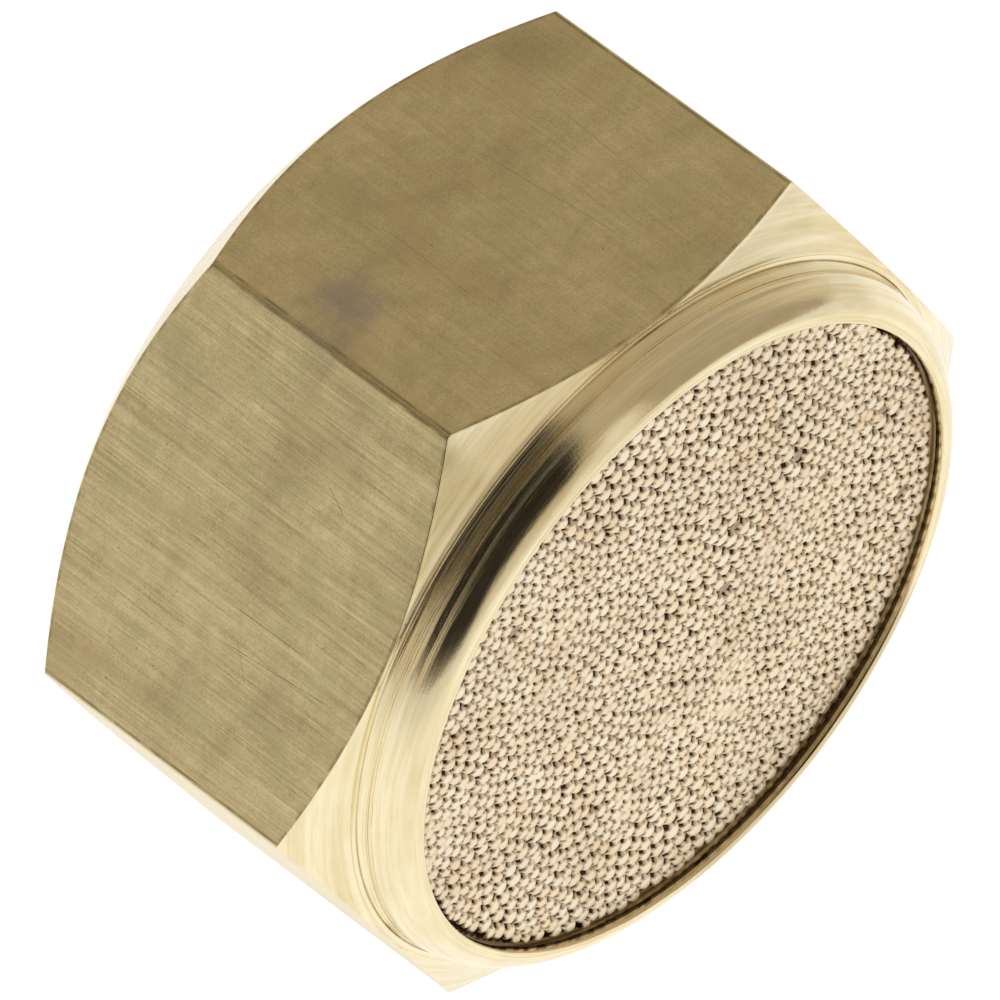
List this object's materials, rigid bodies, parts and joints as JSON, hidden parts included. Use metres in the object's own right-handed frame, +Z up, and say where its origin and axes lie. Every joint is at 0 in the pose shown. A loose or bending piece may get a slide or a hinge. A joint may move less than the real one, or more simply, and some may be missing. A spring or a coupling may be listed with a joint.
{
  "type": "pneumatic muffler",
  "caption": "Flat hexagonal brass muffler for exhaust air: a female pipe thread at one end and a sintered-bronze disc under a rolled collar at the other.",
  "frame": {"origin": "middle of the port mouth, on the thread axis, in the plane of the port face", "axes": "+Y along the thread axis out of the port, the outlet disc faces -Y, +Z up with the hexagon lying on one flat, corners along X"},
  "size_m": [0.0196, 0.0099, 0.017],
  "materials": {
    "brass_body": "drawn brass with turned ends, lightly tarnished",
    "sintered_bronze": "granular sintered bronze, matt, dark pores"
  },
  "bodies": {
    "root": {"hex_body": "brass_body", "sinter_disc": "sintered_bronze"}
  },
  "joints": []
}
